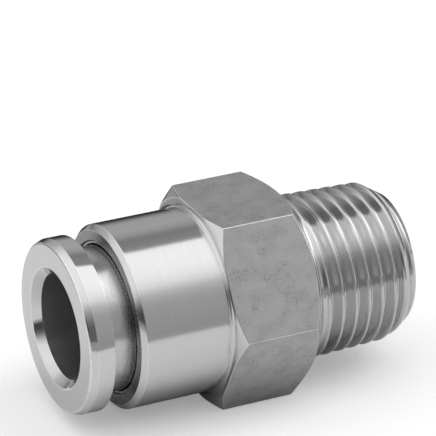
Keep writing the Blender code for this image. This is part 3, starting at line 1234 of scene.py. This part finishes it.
@dataclass
class ReleaseSleeve(TurnedPiece):
    """The sleeve that is pressed to let the tube go: flange and neck outside, four snap fingers inside.

    Attributes:
        bore: Radius of the bore.
        lead_in_height: Height of the funnel at the mouth of the bore.
        lead_in_length: Length of that funnel.
        lead_in_rounding: Radius that blends the funnel into the face.
        front: Depth of the front face, outside the socket.
        flange_back: Depth of the flange's back.
        flange_radius: Radius of the flange.
        chamfer_length: Length of the chamfer round the face.
        chamfer_height: Height of that chamfer.
        face_rounding: Radius that blends the chamfer into the face.
        rim_rounding: Radius that blends it into the flange's rim.
        neck_radius: Radius of the neck.
        neck_rounding: Rounding where the neck meets the flange.
        neck_end: Depth of the neck's end.
        snap_radius: Radius of the snap fingers.
        bead_radius: Radius of the snap bead.
        bead_start: Depth at which the bead starts.
        bead_end: Depth at which it ends.
        nose_radius: Radius of the nose.
        nose_front: Radius of the nose's end face.
        nose_end: Depth of the nose's end face.
        edge: Rounding of the other edges.
        slit_width: Width of the slits between the fingers.
        slit_count: Number of slits.
        slit_start: Depth at which they start.
        over: How far their cutter reaches past the sleeve.
    """

    NAME = "push_sleeve"
    LOOKS = {Finish.PLAIN: SLEEVE_STEEL, Finish.BORED: BORE_STEEL, Finish.GROOVED: GROOVED_STEEL}
    arc_steps: int = 6
    bore: float = 3.22 * MM
    lead_in_height: float = 0.46 * MM
    lead_in_length: float = 0.5 * MM
    lead_in_rounding: float = 0.15 * MM
    front: float = -3.16 * MM
    flange_back: float = -1.61 * MM
    flange_radius: float = 5.31 * MM
    chamfer_length: float = 0.48 * MM
    chamfer_height: float = 0.19 * MM
    face_rounding: float = 0.2 * MM
    rim_rounding: float = 0.1 * MM
    neck_radius: float = 4.40 * MM
    neck_rounding: float = 0.12 * MM
    neck_end: float = 0.5 * MM
    snap_radius: float = 3.77 * MM
    bead_radius: float = 4.07 * MM
    bead_start: float = 2.75 * MM
    bead_end: float = 3.2 * MM
    nose_radius: float = 3.62 * MM
    nose_front: float = 3.34 * MM
    nose_end: float = 3.89 * MM
    edge: float = 0.04 * MM
    slit_width: float = 0.5 * MM
    slit_count: int = 4
    slit_start: float = 0.95 * MM
    over: float = 0.2 * MM

    def corners(self) -> list[Corner]:
        """The corners of the outline, from the bore's mouth round the outside and back.

        Returns:
            The corners.
        """
        return [
            Corner(self.front, self.bore + self.lead_in_height, self.lead_in_rounding),
            Corner(self.front, self.flange_radius - self.chamfer_height, self.face_rounding),
            Corner(self.front + self.chamfer_length, self.flange_radius, self.rim_rounding),
            Corner(self.flange_back, self.flange_radius, self.edge),
            Corner(self.flange_back, self.neck_radius, self.neck_rounding, Finish.GROOVED),
            Corner(self.neck_end, self.neck_radius, self.edge),
            Corner(self.neck_end, self.snap_radius, self.edge),
            Corner(self.bead_start, self.snap_radius, self.edge),
            Corner(self.bead_start, self.bead_radius, self.edge),
            Corner(self.bead_end, self.snap_radius),
            Corner(self.bead_end, self.nose_radius),
            Corner(self.nose_end - (self.nose_radius - self.nose_front), self.nose_radius, self.edge),
            Corner(self.nose_end, self.nose_front, self.edge),
            Corner(self.nose_end, self.bore, self.edge, Finish.BORED),
            Corner(self.front + self.lead_in_length, self.bore, self.edge),
        ]

    def cuts(self) -> list[Bars]:
        """The slits between the snap fingers.

        Returns:
            The slits.
        """
        radii = (self.bore / 2, self.bead_radius + self.over)
        depths = (self.slit_start, self.nose_end + self.over)
        return [Bars("slits", self.slit_count, self.slit_width, radii, depths)]


@dataclass
class GuideRing(TurnedPiece):
    """The ring pressed into the mouth. Its lip guides the sleeve and holds its bead.

    Attributes:
        start: Depth of its front.
        end: Depth of its back.
        outer: Radius outside.
        counterbore: Radius in front of the lip, which takes the sleeve's neck.
        lip_bore: Radius of the lip's bore.
        lip_start: Depth at which the lip starts.
        lip_end: Depth at which it ends.
        chamber: Radius behind the lip, where the bead slides.
        edge: Rounding of the edges.
    """

    NAME = "lip_ring"
    LOOKS = {Finish.PLAIN: RING_STEEL}
    sides: int = 180
    start: float = 0.1 * MM
    end: float = 4.4 * MM
    outer: float = FittingBody.mouth_bore - RING_FIT
    counterbore: float = 4.48 * MM
    lip_bore: float = 3.85 * MM
    lip_start: float = 1.7 * MM
    lip_end: float = 2.7 * MM
    chamber: float = 4.15 * MM
    edge: float = 0.03 * MM

    def corners(self) -> list[Corner]:
        """The corners of the outline, from the front round the outside and back.

        Returns:
            The corners.
        """
        return [
            Corner(self.start, self.counterbore, self.edge),
            Corner(self.start, self.outer, self.edge),
            Corner(self.end, self.outer, self.edge),
            Corner(self.end, self.chamber, self.edge),
            Corner(self.lip_end, self.chamber),
            Corner(self.lip_end, self.lip_bore, self.edge),
            Corner(self.lip_start, self.lip_bore, self.edge),
            Corner(self.lip_start, self.counterbore),
        ]


@dataclass
class GripRing(TurnedPiece):
    """The toothed spring-steel ring that bites on the tube.

    Attributes:
        start: Depth of its front.
        thickness: Thickness of the sheet.
        outer: Radius outside.
        root: Radius from which the teeth slope inwards.
        tip: Radius of the teeth's tips.
        tooth_angle: Angle of the teeth from the ring's plane, in degrees.
        teeth: Number of teeth.
        gap: Width of the gaps between them.
        edge: Rounding of the rim's edges.
        over: How far the gaps' cutter reaches past the teeth.
    """

    NAME = "tooth_ring"
    LOOKS = {Finish.PLAIN: SPRING_STEEL}
    arc_steps: int = 3
    start: float = GuideRing.end + RING_GAP
    thickness: float = 0.25 * MM
    outer: float = FittingBody.mouth_bore - TURNING_FIT
    root: float = 3.98 * MM
    tip: float = 2.95 * MM
    tooth_angle: float = 45.0
    teeth: int = 12
    gap: float = 0.42 * MM
    edge: float = 0.03 * MM
    over: float = 0.2 * MM

    def slope(self) -> float:
        """How much deeper a tooth gets for each step towards the axis."""
        return math.tan(math.radians(self.tooth_angle))

    def tip_depth(self) -> float:
        """Depth of the teeth's tips in front."""
        return self.start + (self.root - self.tip) * self.slope()

    def back_depth(self) -> float:
        """Depth of the tips at the back, which is the ring's deepest place."""
        return self.tip_depth() + self.thickness * math.cos(math.radians(self.tooth_angle))

    def back_radius(self) -> float:
        """Radius of the tips at the back."""
        return self.tip + self.thickness * math.sin(math.radians(self.tooth_angle))

    def corners(self) -> list[Corner]:
        """The corners of the outline, from the front round the rim to the teeth.

        Returns:
            The corners.
        """
        rim_end = self.start + self.thickness
        rim_radius = self.back_radius() + (self.back_depth() - rim_end) / self.slope()
        return [
            Corner(self.start, self.root),
            Corner(self.start, self.outer, self.edge),
            Corner(rim_end, self.outer, self.edge),
            Corner(rim_end, rim_radius),
            Corner(self.back_depth(), self.back_radius()),
            Corner(self.tip_depth(), self.tip),
        ]

    def cuts(self) -> list[Bars]:
        """The gaps between the teeth.

        Returns:
            The gaps.
        """
        radii = (self.tip - self.over, self.root - self.over)
        depths = (self.start - self.over, self.back_depth() + self.over)
        return [Bars("tooth_gaps", self.teeth, self.gap, radii, depths)]


@dataclass
class SupportRing(TurnedPiece):
    """The ring between the teeth and the seal, with a cone that leaves the teeth room.

    Attributes:
        start: Depth of its front.
        end: Depth of its back.
        outer: Radius outside.
        bore: Radius of the bore.
        tooth_room: Distance along the axis that the cone keeps from the teeth's tips.
        edge: Rounding of the edges.
        grip: The ring whose teeth need the room.
    """

    NAME = "back_ring"
    LOOKS = {Finish.PLAIN: RING_STEEL}
    sides: int = 180
    start: float = GripRing.start + GripRing.thickness + RING_GAP
    end: float = FittingBody.seat_start - RING_GAP
    outer: float = FittingBody.mouth_bore - RING_FIT
    bore: float = FittingBody.guide_bore
    tooth_room: float = 0.15 * MM
    edge: float = 0.03 * MM
    grip: GripRing = field(default_factory=GripRing)

    def corners(self) -> list[Corner]:
        """The corners of the outline, from the cone's front round the outside and back.

        Returns:
            The corners.
        """
        cone_end = self.grip.back_depth() + self.tooth_room + (self.grip.back_radius() - self.bore)
        cone_front = self.bore + (cone_end - self.start)
        return [
            Corner(self.start, cone_front, self.edge),
            Corner(self.start, self.outer, self.edge),
            Corner(self.end, self.outer, self.edge),
            Corner(self.end, self.bore, self.edge),
            Corner(cone_end, self.bore, self.edge),
        ]


@dataclass
class TubeSeal(TurnedPiece):
    """The rubber ring that seals on the tube, with the fine flash line of its mould.

    Attributes:
        start: Depth of its front.
        inner: Radius inside.
        cord: Thickness of the ring.
        flash: Height of the flash line.
        cord_sides: Number of faces round the cord.
    """

    NAME = "seal_ring"
    LOOKS = {Finish.PLAIN: SEAL_RUBBER}
    FLAT_FACES = False
    sides: int = 120
    start: float = FittingBody.seat_start
    inner: float = 2.95 * MM
    cord: float = 1.45 * MM
    flash: float = 0.012 * MM
    cord_sides: int = 40

    @functools.cached_property
    def outline(self) -> list[Spot]:
        """The round section of the cord, with the flash line inside and outside.

        Returns:
            The outline's points.
        """
        cord = self.cord / 2
        centre = Vector((self.start + cord, self.inner + cord))
        flash_lines = (self.cord_sides // 4, 3 * self.cord_sides // 4)
        outline = []
        for index, degrees in enumerate(even_angles(self.cord_sides)):
            reach = cord if index in flash_lines else cord - self.flash
            angle = math.radians(degrees)
            place = centre + reach * Vector((math.cos(angle), math.sin(angle)))
            outline.append(Spot(place.x, place.y))
        return outline


@dataclass(frozen=True)
class LightBands:
    """Soft bands of light that run along the fitting, for one stretch of directions.

    Attributes:
        angles: Angles round the axis, in degrees: 0 is the horizon in front, 90 overhead and 180 the
            horizon behind.
        levels: The level of light at each of them.
    """

    angles: tuple[float, ...]
    levels: tuple[float, ...]

    def add(self, tree: Tree, angle_share: Socket) -> Socket:
        """Adds the bands to the world.

        Args:
            tree: The world's tree.
            angle_share: Angle round the axis, where 1 stands for 180 degrees.

        Returns:
            The level of light.
        """
        ramp = tree.node("ShaderNodeValToRGB", Fac=angle_share)
        brightest = max(self.levels)
        stops = ramp.color_ramp.elements
        for index, (angle, level) in enumerate(zip(self.angles, self.levels)):
            place = angle / 180.0
            stop = stops[index] if index < 2 else stops.new(place)
            stop.position = place
            stop.color = grey(level / brightest)
        return tree.math("MULTIPLY", ramp.outputs["Color"], brightest)


FAR_LIGHT = LightBands(
    angles=(0, 20, 43, 63, 75, 83, 101, 105, 123, 143, 165, 180),
    levels=(0.9, 0.6, 0.6, 1.25, 2.5, 3.2, 3.2, 0.3, 0.26, 0.5, 0.45, 0.1),
)
RIGHT_LIGHT = LightBands(
    angles=(0, 23, 33, 43, 53, 63, 73, 102, 105, 113, 123, 133, 143, 165, 173, 180),
    levels=(0.4, 0.44, 0.48, 0.64, 1.02, 1.2, 1.28, 1.32, 0.3, 0.3, 0.26, 0.43, 0.5, 0.45, 0.28, 0.1),
)
LEFT_LIGHT = LightBands(
    angles=(0, 20, 33, 43, 53, 63, 75, 110, 133, 143, 153, 163, 173, 180),
    levels=(0.15, 0.15, 0.33, 0.56, 0.97, 1.08, 1.14, 1.15, 1.02, 0.83, 0.6, 0.52, 0.38, 0.15),
)
END_LIGHT = LightBands(
    angles=(0, 13, 23, 33, 43, 53, 63, 73, 107, 123, 133, 143, 153, 163, 173, 180),
    levels=(0.07, 0.06, 0.09, 0.18, 0.38, 0.65, 0.84, 1.03, 1.08, 0.98, 0.95, 0.98, 1.0, 0.95, 0.6, 0.1),
)


@dataclass
class Studio:
    """A pale floor under plain soft light, with the camera at the photograph's viewing angle.

    Attributes:
        camera_place: Where the camera stands.
        camera_forward: The direction in which it looks.
        camera_right: The direction to its right.
        camera_range: The nearest and the farthest distance that it sees.
        lens: Focal length, in millimetres on a sensor of sensor_width.
        sensor_width: Width of the sensor, in millimetres.
        floor_size: Width of the floor.
        floor_tone: Grey of the floor.
        floor_lift: Glow that keeps the floor white where the fitting's shadow doesn't fall.
        sheet_middle: Middle of the white sheet that the steel mirrors.
        sheet_reach: How far that sheet reaches along and across the fitting.
        sheet_edge: Width over which the sheet's edge fades.
        painted_surround_tone: Grey of the painted reflection of the floor beyond the sheet, seen only in the
            steel.
        painted_dark_patch_place: Where a painted dark patch on the floor behind the fitting starts, as (x,
            y), seen only in the steel.
        painted_dark_patch_shade: Share of the floor's tone that the painted dark patch takes away.
        shade: Painted shade: share of the floor's tone left under the fitting, only as the steel mirrors it.
        painted_shade_reach: Distances from the axis between which that painted shade fades.
        painted_shade_start: Places along X between which that painted shade begins.
        painted_shade_end: Places along X between which it ends.
        light: Light from beyond the thread, from the thread's side, from the sleeve's side and from straight
            in front of the sleeve.
        light_changes: Parts along +X of a direction between which one of these gives way to the next.
    """

    camera_place: tuple[float, float, float] = (-0.078849, -0.16115, 0.093962)
    camera_forward: tuple[float, float, float] = (0.3976, 0.8157, -0.4201)
    camera_right: tuple[float, float, float] = (0.8986, -0.4388, -0.0013)
    camera_range: tuple[float, float] = (0.01, 10.0)
    lens: float = 273.9
    sensor_width: float = 36.0
    floor_size: float = 3.0
    floor_tone: float = 0.88
    floor_lift: float = 0.26
    sheet_middle: tuple[float, float] = (-6 * MM, -2 * MM)
    sheet_reach: tuple[float, float] = (200 * MM, 34 * MM)
    sheet_edge: float = 5 * MM
    painted_surround_tone: float = 0.42
    painted_dark_patch_place: tuple[float, float] = (-7 * MM, 14 * MM)
    painted_dark_patch_shade: float = 0.9
    shade: float = 0.6
    painted_shade_reach: tuple[float, float] = (3 * MM, 6.5 * MM)
    painted_shade_start: tuple[float, float] = (-9 * MM, -7 * MM)
    painted_shade_end: tuple[float, float] = (3 * MM, 8 * MM)
    light: tuple[LightBands, ...] = (FAR_LIGHT, RIGHT_LIGHT, LEFT_LIGHT, END_LIGHT)
    light_changes: tuple[tuple[float, float], ...] = ((0.68, 0.5), (0.15, -0.2), (-0.5, -0.78))

    def add_camera(self) -> None:
        """Adds the camera."""
        data = bpy.data.cameras.new("camera")
        data.lens = self.lens
        data.sensor_width = self.sensor_width
        data.clip_start, data.clip_end = self.camera_range
        camera = bpy.data.objects.new("camera", data)
        bpy.context.scene.collection.objects.link(camera)
        forward = Vector(self.camera_forward).normalized()
        right = Vector(self.camera_right)
        right = (right - forward * right.dot(forward)).normalized()
        turned = Matrix((right, right.cross(forward), -forward)).transposed()
        camera.matrix_world = Matrix.Translation(self.camera_place) @ turned.to_4x4()
        bpy.context.scene.camera = camera

    def add_light(self) -> None:
        """Sets the world to soft light, in bands along the fitting that differ towards its two ends.

        The camera sees white there.
        """
        world = bpy.data.worlds.new("studio")
        world.use_nodes = True
        bpy.context.scene.world = world
        tree = Tree(world.node_tree)
        background = world.node_tree.nodes["Background"]
        direction = tree.node("ShaderNodeTexCoord").outputs["Generated"]
        parts = tree.node("ShaderNodeSeparateXYZ", Vector=direction).outputs
        front = tree.math("MULTIPLY", parts["Y"], -1.0)
        angle_share = tree.math("DIVIDE", tree.math("ARCTAN2", parts["Z"], front), math.pi)
        level, *nearer = [bands.add(tree, angle_share) for bands in self.light]
        for change, next_level in zip(self.light_changes, nearer):
            level = tree.blend(tree.between(parts["X"], *change), level, next_level)
        tree.feed(background.inputs["Color"], tree.blend(tree.seen(), level, WHITE))
        background.inputs["Strength"].default_value = 1.0

    def add_floor(self) -> None:
        """Adds the floor: white paper that keeps the fitting's shadow."""
        draft = bmesh.new()
        bmesh.ops.create_grid(draft, x_segments=2, y_segments=2, size=self.floor_size / 2)
        floor = add_object("floor", finished_mesh(draft, "floor"), Vector())
        floor.data.materials.append(self.floor_material())

    def floor_material(self) -> bpy.types.Material:
        """White paper, which the steel mirrors with painted reflection and painted shade: a sheet in darker
        surroundings.

        Returns:
            The material.
        """
        material, tree, shader = new_material("white_paper")
        place = tree.node("ShaderNodeSeparateXYZ", Vector=tree.place()).outputs
        # Painted reflection: beyond an oval sheet round the fitting, the floor as the steel mirrors it is
        # darkened to the surround's grey.
        middle_x, middle_y = self.sheet_middle
        reach_x, reach_y = self.sheet_reach
        along = tree.math("DIVIDE", tree.math("SUBTRACT", place["X"], middle_x), reach_x / reach_y)
        distance = tree.distance(along, tree.math("SUBTRACT", place["Y"], middle_y))
        fade_start = reach_y - self.sheet_edge / 2
        beyond = tree.between(distance, fade_start, fade_start + self.sheet_edge)
        # Painted shade: under the fitting, the floor as the steel mirrors it is darkened to stand for the
        # fitting's shadow.
        near_axis = tree.between(tree.math("ABSOLUTE", place["Y"]), *self.painted_shade_reach, 1.0, 0.0)
        begun = tree.between(place["X"], *self.painted_shade_start)
        not_ended = tree.between(place["X"], *self.painted_shade_end, 1.0, 0.0)
        painted_shade_mask = tree.math("MULTIPLY", near_axis, tree.math("MULTIPLY", begun, not_ended))
        shade = tree.math("MULTIPLY_ADD", painted_shade_mask, self.shade - 1.0, 1.0)
        # Painted reflection: a dark patch on the floor behind the fitting, seen only in the steel, stands for
        # a dark screen.
        dark_patch_x, dark_patch_y = self.painted_dark_patch_place
        painted_dark_patch = tree.math(
            "MULTIPLY",
            tree.between(place["X"], dark_patch_x, dark_patch_x + self.sheet_edge),
            tree.between(place["Y"], dark_patch_y, dark_patch_y + self.sheet_edge),
        )
        mirrored = tree.math("MULTIPLY_ADD", beyond, self.painted_surround_tone - self.floor_tone, self.floor_tone)
        mirrored = tree.math("MULTIPLY", mirrored, tree.math("MULTIPLY_ADD", painted_dark_patch, -self.painted_dark_patch_shade, 1.0))
        mirrored = tree.math("MULTIPLY", mirrored, shade)
        # Only glossy rays see the painted reflection and painted shade; the camera and the light see the
        # floor's own tone.
        change = tree.math("SUBTRACT", mirrored, self.floor_tone)
        rays = tree.node("ShaderNodeLightPath").outputs
        tone = tree.math("MULTIPLY_ADD", rays["Is Glossy Ray"], change, self.floor_tone)
        tree.feed(shader.inputs["Base Color"], tone)
        shader.inputs["Roughness"].default_value = 1.0
        shader.inputs["Specular IOR Level"].default_value = 0.0
        shader.inputs["Emission Color"].default_value = WHITE
        tree.feed(shader.inputs["Emission Strength"], tree.math("MULTIPLY", tree.seen(), self.floor_lift))
        return material


def place_piece(obj: bpy.types.Object, body: Body, node: str) -> None:
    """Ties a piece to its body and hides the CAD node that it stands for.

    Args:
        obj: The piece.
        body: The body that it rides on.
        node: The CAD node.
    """
    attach(obj, body.value)
    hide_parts(node)
    log.info("%s: %d faces, rides on %s", obj.name, len(obj.data.polygons), body.value)


def main() -> None:
    """Builds the studio and the fitting's pieces, in order."""
    logging.basicConfig(level=logging.INFO, format="%(message)s")
    bpy.context.scene.view_settings.view_transform = "Standard"
    studio = Studio()
    studio.add_camera()
    studio.add_light()
    studio.add_floor()

    axis = Axis.from_frame()
    place_piece(FittingBody().build(axis), Body.FITTING, "body")
    place_piece(GuideRing().build(axis), Body.FITTING, "guide_ring")
    place_piece(SupportRing().build(axis), Body.FITTING, "support_ring")
    place_piece(TubeSeal().build(axis), Body.FITTING, "tube_seal")
    place_piece(GripRing().build(axis), Body.GRIP, "grip_ring")
    place_piece(ReleaseSleeve().build(axis), Body.SLEEVE, "release_sleeve")


if __name__ == "__main__":
    main()
